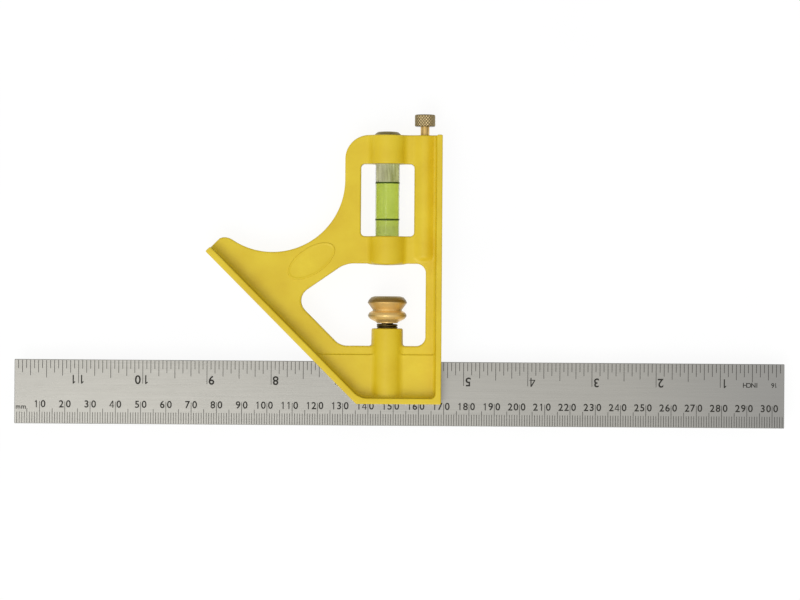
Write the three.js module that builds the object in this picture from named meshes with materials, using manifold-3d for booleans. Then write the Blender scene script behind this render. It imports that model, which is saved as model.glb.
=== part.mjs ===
// Combination square: a 300 mm steel rule that slides through a die-cast head with a 90 degree face,
// a 45 degree mitre face, a spirit level, a lock bolt with its brass nut, and a scriber.
//
// Every position below is in the tool's own axes, in millimetres: x = 0 at the 90 degree face with the
// head on the -x side, y = 0 at the head's foot, z = 0 at mid-thickness with the maker's side at +z.
// The finished group is moved so that its origin is the centre of its footprint, lying on its back.

import * as THREE from "three";
import { mergeVertices } from "three/addons/utils/BufferGeometryUtils.js";
import Module from "manifold-3d";

const wasm = await Module();
wasm.setup();

// ---- Driving dimensions ----

const RUNNING_GAP = 0.25; // between pieces that slide on each other
const FITTED_GAP = 0.1; // between pieces that are pressed or screwed together
const ROUND_SIDES = 32;
const ARC_STEPS = 6; // straight steps in a quarter turn of an outline

const RULE = {
  length: 304.8,
  width: 25.4,
  thickness: 2,
  left: -168.8,
  bottom: -8.8,
  grooveWidth: 3.2,
  grooveDepth: 0.8,
};

const HEAD = {
  height: 106.2,
  mitreFoot: -33.4, // x where the mitre face meets the foot
  mitreRise: 59.7, // how high the mitre face climbs, at 45 degrees
  upperWidth: 38.4,
  topCornerRadius: 9.5,
  waistRadius: 28.7, // the big hollow curve between the upper part and the nose
  waistCentreY: 88.4,
  noseRadius: 4,
  noseAngle: THREE.MathUtils.degToRad(235), // where the hollow curve hands over to the nose
  webThickness: 6,
  flangeWidth: 19, // across the working faces, along z
  squareLip: 1.9,
  footLip: 2.2,
  mitreLip: 2,
  squareFillet: 1.6,
  lipFillet: 1.9,
};

const SLOT_HOUSING = { thickness: 7, top: 19.4, right: -3.6 };

// Corners as [x, y, corner radius].
const LEVEL_WINDOW = [
  [-32.1, 66.2, 2],
  [-11, 66.2, 2],
  [-11, 94.8, 2],
  [-32.1, 94.8, 2],
];
const THUMB_OPENING = [
  [-40, 22.8, 6],
  [-6.5, 22.8, 3.7],
  [-6.5, 55.4, 3.7],
  [-38.1, 55.4, 6],
  [-58.5, 41.3, 6.6],
];

// A plain raised oval on the front of the web.
const BADGE = { x: -51.5, y: 56.2, length: 21.2, width: 10.4, height: 0.3, tilt: 34 };

const LEVEL = {
  x: -21.65,
  bossRadius: 7.6,
  bossBottom: 54.9,
  boreRadius: 4.95,
  boreBottom: 58,
  vialRadius: 4.75,
  vialWall: 0.9,
  vialBottom: 60.2,
  vialTop: 100.4,
  cushionHeight: 1.8,
  fluidTop: 87.6,
  lines: [87.3, 72.8],
  lineHeight: 0.6,
  lineThickness: 0.15,
  capRadius: 5.2,
  capHeight: 1.45,
  capSpigot: 4,
};

const LOCK = {
  x: -21.4,
  bossRadius: 6.2,
  bossTop: 30.1,
  springPocketRadius: 4.6,
  springPocketFloor: 25.5,
  shankRadius: 3,
  shankBottom: 2.2,
  pocketBottom: 1.4,
  threadRadius: 2.5,
  threadTop: 38.8,
  hookWidth: 4.4,
  hookHeight: 2.4,
  draw: 0.5, // how far the nut can pull the bolt down against the rule
  knobBottom: 31.85,
  knobTop: 42.5,
  knobBoreDepth: 8.6,
};

const SPRING = { outerRadius: 4.2, wireRadius: 0.45, turns: 4, stepsPerTurn: 16, wireSides: 6 };

const SCRIBER = {
  x: -6.95,
  bossRadius: 4.4,
  bossBottom: 57,
  boreBottom: 58,
  needleBoreRadius: 1.5,
  bushRadius: 2.6,
  bushBoreRadius: 1.85,
  bushLength: 12,
  shankRadius: 1.75,
  shankBottom: 97.5,
  gripRadius: 4.05,
  gripBottom: 109.75,
  gripTop: 114.45,
  needleRadius: 1,
  needleTip: 59.9,
  needleTop: 104.8,
  pointLength: 5,
};

const OVERRUN = 1; // how far a cutting shape reaches past the surface that it cuts

// ---- Solid helpers ----

function toSolid(geometry) {
  const bare = geometry.clone();
  bare.deleteAttribute("normal");
  bare.deleteAttribute("uv");
  const merged = mergeVertices(bare, 1e-4);
  const corners = merged.index.array;
  const triangles = [];
  for (let i = 0; i < corners.length; i += 3) {
    const [a, b, c] = [corners[i], corners[i + 1], corners[i + 2]];
    if (a !== b && b !== c && c !== a) triangles.push(a, b, c);
  }
  return new wasm.Manifold(
    new wasm.Mesh({
      numProp: 3,
      vertProperties: new Float32Array(merged.attributes.position.array),
      triVerts: new Uint32Array(triangles),
    }),
  );
}

function toGeometry(solid) {
  const { vertProperties, triVerts } = solid.getMesh();
  const geometry = new THREE.BufferGeometry();
  geometry.setAttribute("position", new THREE.BufferAttribute(vertProperties, 3));
  geometry.setIndex(new THREE.BufferAttribute(triVerts, 1));
  const faceted = geometry.toNonIndexed();
  faceted.computeVertexNormals();
  return faceted;
}

function join(solids) {
  return solids.reduce((whole, piece) => whole.add(piece));
}

function cut(solid, cutters) {
  return cutters.reduce((rest, cutter) => rest.subtract(cutter), solid);
}

// A round piece about a vertical axis at (x, z = 0). The profile is [radius, y] pairs, going up outside.
function turned(profile, x, sides = ROUND_SIDES) {
  const points = profile.map(([radius, y]) => new THREE.Vector2(radius, y));
  return new THREE.LatheGeometry(points, sides).translate(x, 0, 0);
}

function cylinder(radius, bottom, top, x) {
  return turned([[0, bottom], [radius, bottom], [radius, top], [0, top]], x);
}

function box([x0, x1], [y0, y1], [z0, z1]) {
  const geometry = new THREE.BoxGeometry(x1 - x0, y1 - y0, z1 - z0);
  return geometry.translate((x0 + x1) / 2, (y0 + y1) / 2, (z0 + z1) / 2);
}

// A flat plate of the given outline, centred on z = 0.
function plate(outline, thickness) {
  const geometry = new THREE.ExtrudeGeometry(outline, {
    depth: thickness,
    bevelEnabled: false,
    curveSegments: ARC_STEPS * 2,
  });
  return geometry.translate(0, 0, -thickness / 2);
}

// A bar whose section lies across its run: section x points inward, section y points along +z.
function bar(section, start, inward, length) {
  const geometry = new THREE.ExtrudeGeometry(section, {
    depth: length,
    bevelEnabled: false,
    curveSegments: ARC_STEPS / 2,
  });
  const up = new THREE.Vector3(0, 0, 1);
  const run = new THREE.Vector3().crossVectors(inward, up);
  const turn = new THREE.Matrix4().makeBasis(inward, up, run);
  return geometry.applyMatrix4(turn.setPosition(start));
}

// A closed outline through corners [x, y, radius], each rounded by an arc of its radius.
function roundedOutline(corners) {
  const points = [];
  corners.forEach(([x, y, radius], i) => {
    const corner = new THREE.Vector2(x, y);
    const [px, py] = corners.at(i - 1);
    const [nx, ny] = corners[(i + 1) % corners.length];
    const toPrevious = new THREE.Vector2(px, py).sub(corner).normalize();
    const toNext = new THREE.Vector2(nx, ny).sub(corner).normalize();
    const half = Math.acos(toPrevious.dot(toNext)) / 2;
    const centre = toPrevious.clone().add(toNext).setLength(radius / Math.sin(half)).add(corner);
    const first = toPrevious.multiplyScalar(radius / Math.tan(half)).add(corner).sub(centre);
    const sweep = Math.PI - 2 * half;
    const steps = Math.ceil((sweep / (Math.PI / 2)) * ARC_STEPS);
    for (let k = 0; k <= steps; k++) {
      const spoke = first.clone().rotateAround(new THREE.Vector2(), (sweep * k) / steps);
      points.push(spoke.add(centre));
    }
  });
  return points;
}

// ---- Head casting ----

function headOutline() {
  const { height, mitreFoot, mitreRise, upperWidth, waistRadius, noseRadius } = HEAD;
  const corner = HEAD.topCornerRadius;
  const waist = new THREE.Vector2(-upperWidth - waistRadius, HEAD.waistCentreY);
  const nose = new THREE.Vector2(waistRadius + noseRadius, 0);
  nose.rotateAround(new THREE.Vector2(), HEAD.noseAngle).add(waist);
  const noseEnd = THREE.MathUtils.degToRad(145);
  const lip = HEAD.mitreLip / Math.SQRT2;

  const outline = new THREE.Shape();
  outline.moveTo(0, 0);
  outline.lineTo(0, height);
  outline.absarc(corner - upperWidth, height - corner, corner, Math.PI / 2, Math.PI, false);
  outline.absarc(waist.x, waist.y, waistRadius, 0, HEAD.noseAngle - 2 * Math.PI, true);
  outline.absarc(nose.x, nose.y, noseRadius, HEAD.noseAngle - Math.PI, noseEnd, false);
  outline.lineTo(mitreFoot - mitreRise + 2 * lip, mitreRise + 1.7 * lip);
  outline.lineTo(mitreFoot - mitreRise + lip, mitreRise + lip);
  outline.lineTo(mitreFoot - mitreRise, mitreRise);
  outline.lineTo(mitreFoot, 0);
  return outline;
}

// Section of a working face: a full-width lip, then a hollow fillet down to the web.
function lipSection(lip, fillet) {
  const edge = HEAD.flangeWidth / 2;
  const web = HEAD.webThickness / 2;
  const section = new THREE.Shape();
  section.moveTo(0, -edge);
  section.lineTo(lip, -edge);
  section.absarc(lip + fillet, -web - fillet, fillet, Math.PI, Math.PI / 2, true);
  section.absarc(lip + fillet, web + fillet, fillet, -Math.PI / 2, -Math.PI, true);
  section.lineTo(lip, edge);
  section.lineTo(0, edge);
  return section;
}

function workingFaces() {
  const { height, mitreFoot, mitreRise } = HEAD;
  const square = bar(
    lipSection(HEAD.squareLip, HEAD.squareFillet),
    new THREE.Vector3(0, 0, 0),
    new THREE.Vector3(-1, 0, 0),
    height,
  );
  const foot = bar(
    lipSection(HEAD.footLip, HEAD.lipFillet),
    new THREE.Vector3(mitreFoot, 0, 0),
    new THREE.Vector3(0, 1, 0),
    -mitreFoot,
  );
  const mitre = bar(
    lipSection(HEAD.mitreLip, HEAD.lipFillet),
    new THREE.Vector3(mitreFoot - mitreRise, mitreRise, 0),
    new THREE.Vector3(1, 1, 0).normalize(),
    mitreRise * Math.SQRT2,
  );
  return [square, foot, mitre].map(toSolid);
}

function slotHousing() {
  const { top, right, thickness } = SLOT_HOUSING;
  const panel = new THREE.Shape();
  panel.moveTo(HEAD.mitreFoot + OVERRUN, OVERRUN);
  panel.lineTo(right, OVERRUN);
  panel.lineTo(right, top);
  panel.lineTo(HEAD.mitreFoot - top + 2 * OVERRUN, top);
  return toSolid(plate(panel, thickness));
}

function badge() {
  const pad = new THREE.CylinderGeometry(0.5, 0.5, BADGE.height * 2, 24).rotateX(Math.PI / 2);
  pad.scale(BADGE.length, BADGE.width, 1);
  pad.rotateZ(THREE.MathUtils.degToRad(BADGE.tilt));
  return toSolid(pad.translate(BADGE.x, BADGE.y, HEAD.webThickness / 2));
}

function headCasting() {
  const { height } = HEAD;
  const windowEdges = LEVEL_WINDOW.map(([, y]) => y);
  const web = headOutline();
  web.holes = [LEVEL_WINDOW, THUMB_OPENING].map((corners) => new THREE.Path(roundedOutline(corners)));
  const body = join([
    toSolid(plate(web, HEAD.webThickness)),
    ...workingFaces(),
    slotHousing(),
    badge(),
    toSolid(cylinder(LEVEL.bossRadius, LEVEL.bossBottom, Math.min(...windowEdges), LEVEL.x)),
    toSolid(cylinder(LEVEL.bossRadius, Math.max(...windowEdges), height, LEVEL.x)),
    toSolid(cylinder(LOCK.bossRadius, OVERRUN, LOCK.bossTop, LOCK.x)),
    toSolid(cylinder(SCRIBER.bossRadius, SCRIBER.bossBottom, height, SCRIBER.x)),
  ]);
  const slotHalf = RULE.thickness / 2 + RUNNING_GAP;
  const slotTop = RULE.bottom + RULE.width + RUNNING_GAP;
  const slot = box([HEAD.mitreFoot - height, OVERRUN], [-OVERRUN, slotTop], [-slotHalf, slotHalf]);
  const bushBottom = height - SCRIBER.bushLength - RUNNING_GAP;
  return cut(body, [
    toSolid(slot),
    toSolid(cylinder(LEVEL.boreRadius, LEVEL.boreBottom, height + OVERRUN, LEVEL.x)),
    toSolid(cylinder(LOCK.shankRadius + RUNNING_GAP, LOCK.pocketBottom, LOCK.bossTop + OVERRUN, LOCK.x)),
    toSolid(cylinder(LOCK.springPocketRadius, LOCK.springPocketFloor, LOCK.bossTop + OVERRUN, LOCK.x)),
    toSolid(cylinder(SCRIBER.needleBoreRadius, SCRIBER.boreBottom, height + OVERRUN, SCRIBER.x)),
    toSolid(cylinder(SCRIBER.bushRadius + FITTED_GAP, bushBottom, height + OVERRUN, SCRIBER.x)),
  ]);
}

// ---- Spirit level ----

function vialBarrel() {
  const inner = LEVEL.vialRadius - LEVEL.vialWall;
  const floor = LEVEL.vialBottom + 2 * LEVEL.vialWall;
  return turned(
    [
      [0, LEVEL.vialBottom],
      [LEVEL.vialRadius, LEVEL.vialBottom],
      [LEVEL.vialRadius, LEVEL.vialTop],
      [inner, LEVEL.vialTop],
      [inner, floor],
      [0, floor],
    ],
    LEVEL.x,
  );
}

function vialFluid() {
  const radius = LEVEL.vialRadius - LEVEL.vialWall - FITTED_GAP;
  const floor = LEVEL.vialBottom + 2 * LEVEL.vialWall + FITTED_GAP;
  return cylinder(radius, floor, LEVEL.fluidTop, LEVEL.x);
}

function vialEndPlug() {
  const stem = LEVEL.vialRadius - LEVEL.vialWall - FITTED_GAP;
  const lip = LEVEL.vialTop + FITTED_GAP;
  return turned(
    [
      [0, lip - 3.4],
      [stem, lip - 3.4],
      [stem, lip],
      [LEVEL.vialRadius, lip],
      [LEVEL.vialRadius, lip + 0.8],
      [0, lip + 0.8],
    ],
    LEVEL.x,
  );
}

function vialLine(middle) {
  const inner = LEVEL.vialRadius + FITTED_GAP / 4;
  const outer = inner + LEVEL.lineThickness;
  const half = LEVEL.lineHeight / 2;
  const section = [
    [inner, middle - half],
    [outer, middle - half],
    [outer, middle + half],
    [inner, middle + half],
    [inner, middle - half],
  ];
  return turned(section, LEVEL.x);
}

function vialCap() {
  const rim = HEAD.height + FITTED_GAP / 2;
  const top = HEAD.height + LEVEL.capHeight;
  const spigot = LEVEL.boreRadius - FITTED_GAP;
  return turned(
    [
      [0, HEAD.height - LEVEL.capSpigot],
      [spigot, HEAD.height - LEVEL.capSpigot],
      [spigot, rim],
      [LEVEL.capRadius, rim],
      [LEVEL.capRadius, rim + 0.5],
      [LEVEL.capRadius - 0.7, top - 0.35],
      [LEVEL.capRadius - 2, top],
      [0, top],
    ],
    LEVEL.x,
  );
}

// ---- Rule ----

function rule() {
  const half = RULE.thickness / 2;
  const middle = RULE.width / 2;
  const section = new THREE.Shape();
  section.moveTo(0, half);
  section.lineTo(0, -half);
  section.lineTo(middle - RULE.grooveWidth / 2, -half);
  section.lineTo(middle - RULE.grooveWidth / 2, RULE.grooveDepth - half);
  section.lineTo(middle + RULE.grooveWidth / 2, RULE.grooveDepth - half);
  section.lineTo(middle + RULE.grooveWidth / 2, -half);
  section.lineTo(RULE.width, -half);
  section.lineTo(RULE.width, half);
  const start = new THREE.Vector3(RULE.left, RULE.bottom, 0);
  return bar(section, start, new THREE.Vector3(0, 1, 0), RULE.length);
}

// ---- Blade lock ----

// The shank is cut away in front of the rule, and its hook rides in the groove on the rule's back.
function lockBolt() {
  const shank = turned(
    [
      [0, LOCK.shankBottom],
      [LOCK.shankRadius, LOCK.shankBottom],
      [LOCK.shankRadius, LOCK.springPocketFloor - FITTED_GAP],
      [LOCK.threadRadius, LOCK.springPocketFloor + FITTED_GAP],
      [LOCK.threadRadius, LOCK.threadTop - 0.6],
      [LOCK.threadRadius - 0.6, LOCK.threadTop],
      [0, LOCK.threadTop],
    ],
    LOCK.x,
  );
  const ruleTop = RULE.bottom + RULE.width + LOCK.draw + RUNNING_GAP;
  const ruleBack = -RULE.thickness / 2 - RUNNING_GAP;
  const side = [LOCK.x - 2 * LOCK.shankRadius, LOCK.x + 2 * LOCK.shankRadius];
  const ruleSpace = box(side, [LOCK.shankBottom - OVERRUN, ruleTop], [ruleBack, 2 * LOCK.shankRadius]);
  const grooveTop = RULE.bottom + (RULE.width + RULE.grooveWidth) / 2;
  const hookTop = grooveTop - 0.2;
  const hook = box(
    [LOCK.x - LOCK.hookWidth / 2, LOCK.x + LOCK.hookWidth / 2],
    [hookTop - LOCK.hookHeight, hookTop],
    [ruleBack - 0.5, RULE.grooveDepth - RULE.thickness / 2 - RUNNING_GAP],
  );
  return toGeometry(toSolid(shank).subtract(toSolid(ruleSpace)).add(toSolid(hook)));
}

class Helix extends THREE.Curve {
  constructor(radius, bottom, top, turns) {
    super();
    Object.assign(this, { radius, bottom, top, turns });
  }

  getPoint(t, target = new THREE.Vector3()) {
    const angle = t * this.turns * 2 * Math.PI;
    const y = THREE.MathUtils.lerp(this.bottom, this.top, t);
    return target.set(this.radius * Math.sin(angle), y, this.radius * Math.cos(angle));
  }
}

function lockSpring() {
  const { outerRadius, wireRadius, turns, stepsPerTurn, wireSides } = SPRING;
  const inset = wireRadius * 1.2 + FITTED_GAP;
  const path = new Helix(
    outerRadius - wireRadius,
    LOCK.springPocketFloor + inset,
    LOCK.knobBottom - inset,
    turns,
  );
  const wire = new THREE.Shape();
  for (let i = 0; i < wireSides; i++) {
    const angle = (i / wireSides) * 2 * Math.PI;
    const [x, y] = [wireRadius * Math.cos(angle), wireRadius * Math.sin(angle)];
    if (i === 0) wire.moveTo(x, y);
    else wire.lineTo(x, y);
  }
  const coil = new THREE.ExtrudeGeometry(wire, {
    steps: turns * stepsPerTurn,
    extrudePath: path,
    bevelEnabled: false,
  });
  return coil.translate(LOCK.x, 0, 0);
}

// A spool-shaped nut: two wide rims with a waist between them, and a blind threaded hole.
function lockKnob() {
  const { knobBottom: bottom, knobTop: top } = LOCK;
  const bore = LOCK.threadRadius + FITTED_GAP;
  return turned(
    [
      [bore, bottom],
      [4.1, bottom],
      [5.9, bottom + 0.9],
      [7.3, bottom + 1.9],
      [7.8, bottom + 2.7],
      [7.8, bottom + 3.8],
      [5.8, bottom + 4.9],
      [5.8, top - 5.1],
      [7.4, top - 3.7],
      [7.85, top - 2.9],
      [7.6, top - 2],
      [5.9, top],
      [0, top],
      [0, bottom + LOCK.knobBoreDepth],
      [bore, bottom + LOCK.knobBoreDepth],
      [bore, bottom],
    ],
    LOCK.x,
  );
}

// ---- Scriber ----

function scriberBush() {
  const bottom = HEAD.height - SCRIBER.bushLength;
  const section = [
    [SCRIBER.bushBoreRadius, bottom],
    [SCRIBER.bushRadius, bottom],
    [SCRIBER.bushRadius, HEAD.height],
    [SCRIBER.bushBoreRadius, HEAD.height],
    [SCRIBER.bushBoreRadius, bottom],
  ];
  return turned(section, SCRIBER.x);
}

function scriberHandle() {
  const { gripRadius, gripBottom, gripTop, shankRadius, shankBottom } = SCRIBER;
  const hole = SCRIBER.needleRadius + FITTED_GAP;
  const holeTop = SCRIBER.needleTop + FITTED_GAP;
  return turned(
    [
      [hole, shankBottom],
      [shankRadius, shankBottom],
      [shankRadius, gripBottom],
      [gripRadius - 0.4, gripBottom],
      [gripRadius, gripBottom + 0.4],
      [gripRadius, gripTop - 0.4],
      [gripRadius - 0.4, gripTop],
      [0, gripTop],
      [0, holeTop],
      [hole, holeTop],
      [hole, shankBottom],
    ],
    SCRIBER.x,
  );
}

function scriberNeedle() {
  const { needleRadius, needleTip, needleTop, pointLength } = SCRIBER;
  return turned(
    [
      [0, needleTip],
      [needleRadius, needleTip + pointLength],
      [needleRadius, needleTop],
      [0, needleTop],
    ],
    SCRIBER.x,
    16,
  );
}

// ---- Materials ----

const MATERIALS = {
  enamel: { color: 0xdcb92c, roughness: 0.45, metalness: 0 },
  steel: { color: 0xb4b2a8, roughness: 0.35, metalness: 1 },
  darkSteel: { color: 0x5a5852, roughness: 0.45, metalness: 1 },
  brass: { color: 0xc8a24a, roughness: 0.3, metalness: 1 },
  dullBrass: { color: 0x8f7a45, roughness: 0.45, metalness: 1 },
  glass: { color: 0xe8f2e0, roughness: 0.05, metalness: 0, transparent: true, opacity: 0.35 },
  fluid: { color: 0xa9c84a, roughness: 0.1, metalness: 0, transparent: true, opacity: 0.8 },
  ink: { color: 0x151515, roughness: 0.6, metalness: 0 },
  rubber: { color: 0x2a2a2a, roughness: 0.9, metalness: 0 },
  nylon: { color: 0xe6e2d4, roughness: 0.5, metalness: 0 },
};

// ---- Assembly ----

function piece(name, geometry, finish) {
  const mesh = new THREE.Mesh(geometry, new THREE.MeshStandardMaterial(MATERIALS[finish]));
  mesh.name = name;
  return mesh;
}

const square = new THREE.Group();
const [upperLine, lowerLine] = LEVEL.lines;
const cushionBottom = LEVEL.boreBottom + FITTED_GAP;
const cushionTop = cushionBottom + LEVEL.cushionHeight;
const cushionRadius = LEVEL.boreRadius - FITTED_GAP;

square.add(
  piece("head_casting", toGeometry(headCasting()), "enamel"),
  piece("vial_cushion", cylinder(cushionRadius, cushionBottom, cushionTop, LEVEL.x), "rubber"),
  piece("vial_barrel", vialBarrel(), "glass"),
  piece("vial_fluid", vialFluid(), "fluid"),
  piece("vial_end_plug", vialEndPlug(), "nylon"),
  piece("vial_line_upper", vialLine(upperLine), "ink"),
  piece("vial_line_lower", vialLine(lowerLine), "ink"),
  piece("vial_cap", vialCap(), "dullBrass"),
  piece("rule", rule(), "steel"),
  piece("lock_bolt", lockBolt(), "darkSteel"),
  piece("lock_spring", lockSpring(), "darkSteel"),
  piece("lock_knob", lockKnob(), "brass"),
  piece("scriber_bush", scriberBush(), "dullBrass"),
  piece("scriber_handle", scriberHandle(), "dullBrass"),
  piece("scriber_needle", scriberNeedle(), "steel"),
);

square.position.set(
  -RULE.left - RULE.length / 2,
  -(RULE.bottom + SCRIBER.gripTop) / 2,
  HEAD.flangeWidth / 2,
);

export default square;
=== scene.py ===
"""Combination square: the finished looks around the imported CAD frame.

Shapes are worked out in the tool's own axes, in millimetres: x = 0 at the square face with the head on
the -x side, y = 0 at the head's foot, z = 0 at mid-thickness. in_row() moves them into the row frame.
"""
import math

import bpy
import numpy as np
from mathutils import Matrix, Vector


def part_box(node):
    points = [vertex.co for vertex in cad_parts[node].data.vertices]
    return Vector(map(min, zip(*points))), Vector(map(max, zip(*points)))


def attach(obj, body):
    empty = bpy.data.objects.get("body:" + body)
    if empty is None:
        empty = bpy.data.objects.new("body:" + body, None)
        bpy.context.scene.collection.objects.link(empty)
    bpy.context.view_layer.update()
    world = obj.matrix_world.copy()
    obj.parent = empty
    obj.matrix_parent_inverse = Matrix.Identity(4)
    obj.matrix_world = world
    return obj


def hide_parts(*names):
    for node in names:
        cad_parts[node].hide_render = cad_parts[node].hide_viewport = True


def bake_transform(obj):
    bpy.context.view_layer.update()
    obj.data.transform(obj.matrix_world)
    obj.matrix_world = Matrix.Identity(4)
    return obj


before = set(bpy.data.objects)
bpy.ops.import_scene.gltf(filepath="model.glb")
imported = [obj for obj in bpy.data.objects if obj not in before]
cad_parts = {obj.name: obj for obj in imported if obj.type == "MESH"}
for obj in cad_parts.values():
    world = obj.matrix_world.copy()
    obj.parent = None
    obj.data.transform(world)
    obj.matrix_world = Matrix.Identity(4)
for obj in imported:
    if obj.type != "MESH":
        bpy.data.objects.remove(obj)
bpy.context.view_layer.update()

MM = 0.001
HEAD_LOW, HEAD_HIGH = (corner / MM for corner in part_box("head_casting"))
ORIGIN = Vector((HEAD_HIGH.x, HEAD_LOW.y, (HEAD_LOW.z + HEAD_HIGH.z) / 2))


def tool_box(node):
    """A CAD node's lowest and highest corner, in the tool's axes."""
    low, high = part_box(node)
    return low / MM - ORIGIN, high / MM - ORIGIN


# ---- Driving dimensions ----

HEAD_HEIGHT = HEAD_HIGH.y - HEAD_LOW.y
HALF_FACE = (HEAD_HIGH.z - HEAD_LOW.z) / 2
HALF_WEB = 3.0
HALF_HOUSING, HOUSING_TOP, HOUSING_FILLET = 3.5, 19.4, 0.3

# The mitre face rises at 45 degrees, from x = MITRE_FOOT on the foot to the head's far end.
MITRE_RISE = 59.7
MITRE_FOOT = HEAD_LOW.x - HEAD_HIGH.x + MITRE_RISE
SQUARE_LIP, FOOT_LIP, MITRE_LIP = 2.3, 2.3, 2.6
SQUARE_FILLET, LIP_FILLET = 1.6, 1.9

FLANK = -38.4
TOP_CORNER_RADIUS = 9.5
WAIST_X, WAIST_Y, WAIST_RADIUS = -67.1, 88.4, 28.7
NOSE_X, NOSE_Y, NOSE_RADIUS = -89.2, 63.87, 4.4
NOSE_SLOPE = math.radians(140)
NOSE_STEP, NOSE_FILLET = 0.3, 0.6

WINDOW_LOW, WINDOW_HIGH, WINDOW_CORNER = (-32.1, 66.2), (-11.0, 94.8), 1.6
OPENING_LOW, OPENING_TOP, OPENING_RIGHT = 22.8, 55.4, -6.25
OPENING_LOWER_LEFT, OPENING_UPPER_LEFT = -40.0, -38.1
OPENING_UPPER_SLOPE = math.radians(34.7)
OPENING_RIGHT_CORNER, OPENING_LEFT_CORNER, OPENING_SLOPE_CORNER = 3.7, 6.6, 1.8

OPENING_ROUNDING, OUTLINE_ROUNDING, FACE_ROUNDING, HOLE_ROUNDING = 0.7, 0.6, 0.4, 0.2
BOSS_FILLET = 1.2


def upright_axis(node):
    """The x of the vertical axis that a round node is turned about."""
    low, high = tool_box(node)
    return (low.x + high.x) / 2


VIAL_X = upright_axis("vial_barrel")
VIAL_RADIUS, VIAL_BORE = 4.75, 4.64
VIAL_BOSS_RADIUS, VIAL_BOSS_BOTTOM, VIAL_BOSS_ROUNDING, VIAL_BOSS_BULGE = 7.6, 54.9, 1.2, 40
VIAL_HOLE_RADIUS, VIAL_HOLE_BOTTOM = 4.95, 58.0

LOCK_X = upright_axis("lock_knob")
LOCK_BOSS_RADIUS, LOCK_BOSS_TOP, LOCK_BOSS_ROUNDING, LOCK_BOSS_FILLET = 6.2, 29.75, 0.5, 1.0
LOCK_BOSS_DRAFT = 0.012
LOCK_BORE_RADIUS, LOCK_BORE_BOTTOM = 3.25, 1.4
SPRING_POCKET_RADIUS, SPRING_POCKET_FLOOR = 4.6, 24.9

SCRIBER_X = upright_axis("scriber_handle")
SCRIBER_BOSS_RADIUS, SCRIBER_BOSS_BOTTOM, SCRIBER_BOSS_ROUNDING = 4.4, 57.0, 1.5
SCRIBER_HOLE_RADIUS, SCRIBER_NEEDLE_HOLE, BUSH_LENGTH = 2.7, 1.5, 12.25

RULE_LOW, RULE_HIGH = tool_box("rule")
RULE_MIDDLE = (RULE_LOW.y + RULE_HIGH.y) / 2
GROOVE_WIDTH, GROOVE_DEPTH = 3.2, 0.8
SLOT_GAP = 0.25

# ---- Meshes ----


def in_row(points):
    """Points in the tool's axes, moved into the row frame."""
    return (np.asarray(points, float) + np.array(ORIGIN)) * MM


def mesh_object(name, points, faces, materials):
    """A mesh object from points in the row frame."""
    mesh = bpy.data.meshes.new(name)
    mesh.from_pydata(points, [], [list(map(int, face)) for face in faces])
    mesh.update()
    for material in materials:
        mesh.materials.append(material)
    made = bpy.data.objects.new(name, mesh)
    bpy.context.scene.collection.objects.link(made)
    return made


def add_piece(name, points, faces, materials, body, replaces=(), normals=None):
    """A smooth piece from points in the tool's axes, riding a body."""
    piece = mesh_object(name, in_row(points).tolist(), faces, materials)
    piece.data.shade_smooth()
    if normals is not None:
        piece.data.normals_split_custom_set_from_vertices(normals.tolist())
    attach(piece, body)
    if replaces:
        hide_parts(*replaces)
    return piece


def sharpen(piece, degrees=35):
    """Keeps edges sharper than this angle crisp on a smooth-shaded piece."""
    piece.data.set_sharp_from_angle(angle=math.radians(degrees))


def rounded(corners, closed=False, steps=4):
    """A path through corners (a, b, radius), each rounded by an arc of its radius."""
    path = []
    for i, (a, b, radius) in enumerate(corners):
        ends = i == 0 or i == len(corners) - 1
        if radius == 0 or (ends and not closed):
            path.append((a, b))
            continue
        corner = Vector((a, b))
        before = (Vector(corners[i - 1][:2]) - corner).normalized()
        after = (Vector(corners[(i + 1) % len(corners)][:2]) - corner).normalized()
        half = before.angle(after) / 2
        centre = corner + (before + after).normalized() * radius / math.sin(half)
        first = corner + before * radius / math.tan(half) - centre
        turn = math.pi - 2 * half
        side = 1 if before.x * after.y - before.y * after.x < 0 else -1
        for k in range(steps + 1):
            c, s = math.cos(side * turn * k / steps), math.sin(side * turn * k / steps)
            path.append((centre.x + c * first.x - s * first.y, centre.y + s * first.x + c * first.y))
    return path


def refined(profile, longest):
    """The same profile with no step on its outside longer than this."""
    fine = [profile[0]]
    for (r0, y0), (r1, y1) in zip(profile, profile[1:]):
        parts = max(1, math.ceil(math.hypot(r1 - r0, y1 - y0) / longest)) if r1 > 0 else 1
        fine += [(r0 + (r1 - r0) * k / parts, y0 + (y1 - y0) * k / parts) for k in range(1, parts + 1)]
    return fine


def lathe(profile, x, sides=96, ridges=None):
    """Turns a profile of (radius, y) about the vertical axis at x, z = 0.

    Its ends on the axis become poles; a profile off the axis is closed on itself. ridges(radius, y,
    angle) may return a change to each point's radius.
    """
    angles = np.arange(sides) * 2 * math.pi / sides
    points, rings = [], []
    for radius, y in profile:
        start = len(points)
        if radius < 1e-6:
            points.append((x, y, 0.0))
            rings.append([start] * sides)
            continue
        reach = radius + (ridges(radius, y, angles) if ridges else 0 * angles)
        points += [(x + r * math.sin(a), y, r * math.cos(a)) for r, a in zip(reach, angles)]
        rings.append(list(range(start, start + sides)))
    if profile[0][0] > 1e-6:
        rings.append(rings[0])
    faces = []
    for low, high in zip(rings, rings[1:]):
        for i in range(sides):
            j = (i + 1) % sides
            face = [low[i], low[j], high[j], high[i]]
            face = [v for n, v in enumerate(face) if v not in face[:n]]
            if len(face) > 2:
                faces.append(face)
    return points, faces


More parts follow.
